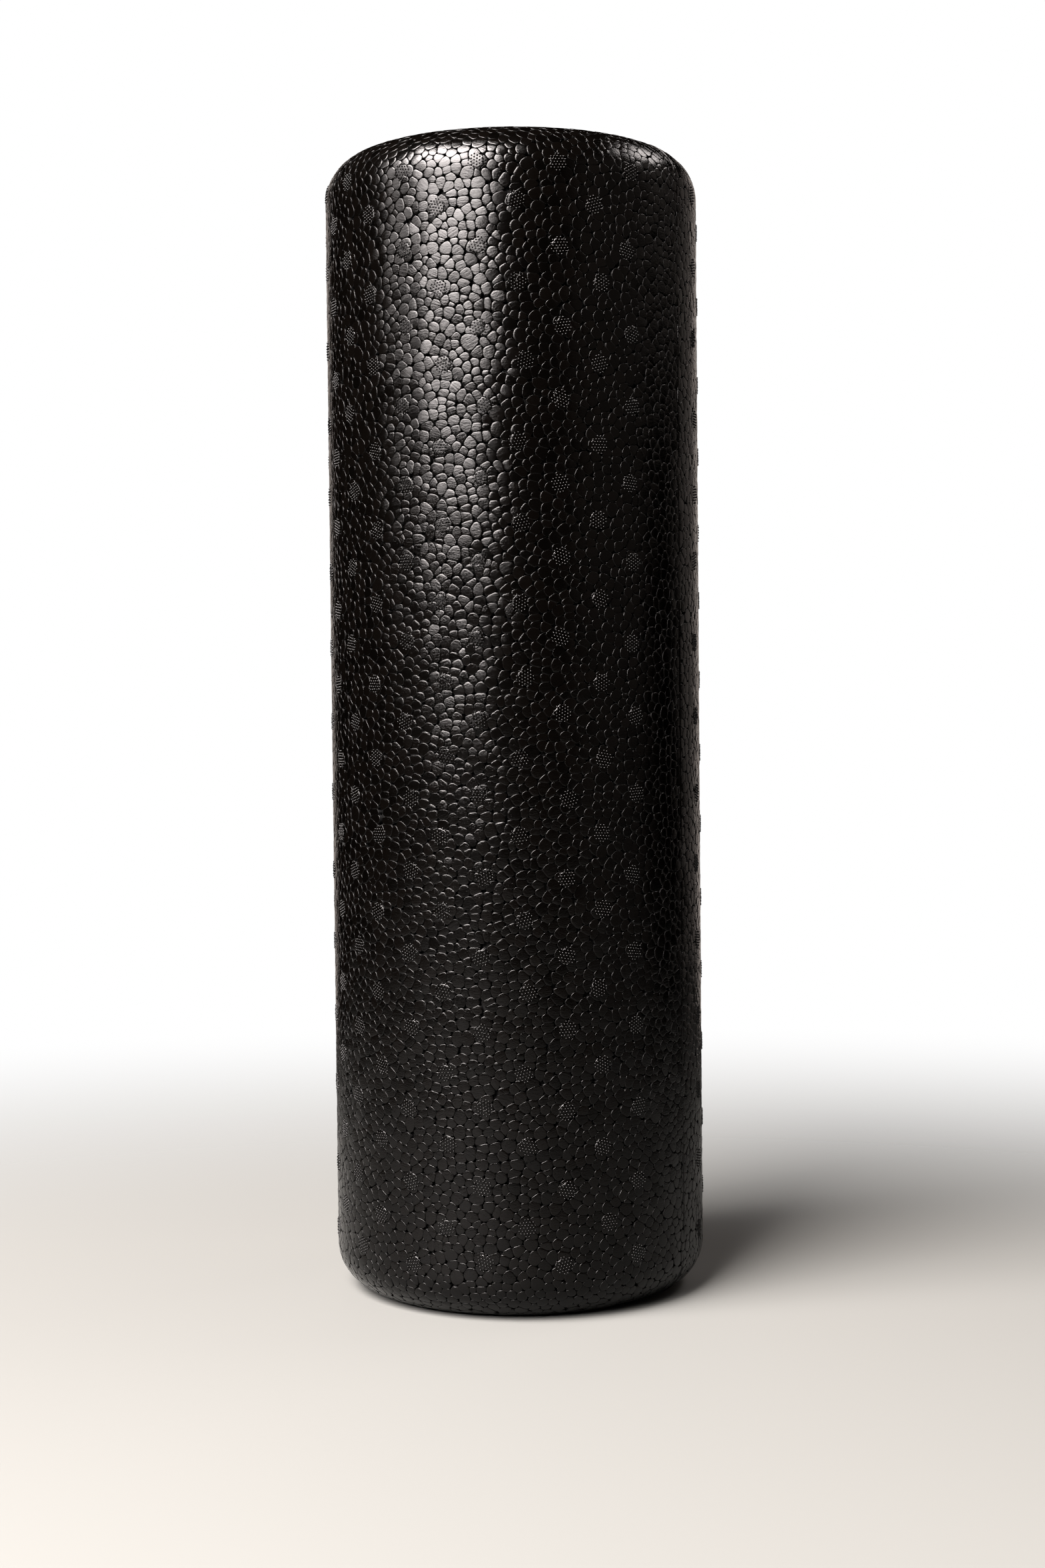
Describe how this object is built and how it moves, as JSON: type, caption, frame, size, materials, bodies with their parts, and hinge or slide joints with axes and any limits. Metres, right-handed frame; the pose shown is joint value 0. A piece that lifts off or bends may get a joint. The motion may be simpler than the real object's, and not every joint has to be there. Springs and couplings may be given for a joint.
{
  "type": "foam roller",
  "caption": "Solid round foam massage roller moulded in one piece, with flat ends and large rounded shoulders, standing upright on one end.",
  "frame": {"origin": "centre of the flat end face that the roller stands on", "axes": "+Z along the roller's axis, up from the end it stands on; -Y faces the front; the mould's parting line runs up the side at 60 degrees from the front towards +X, and again opposite"},
  "size_m": [0.15, 0.15, 0.457],
  "materials": {
    "moulded_foam": "satin skin of fused closed-cell foam beads, black right through"
  },
  "bodies": {
    "root": {"roller_body": "moulded_foam"}
  },
  "joints": []
}
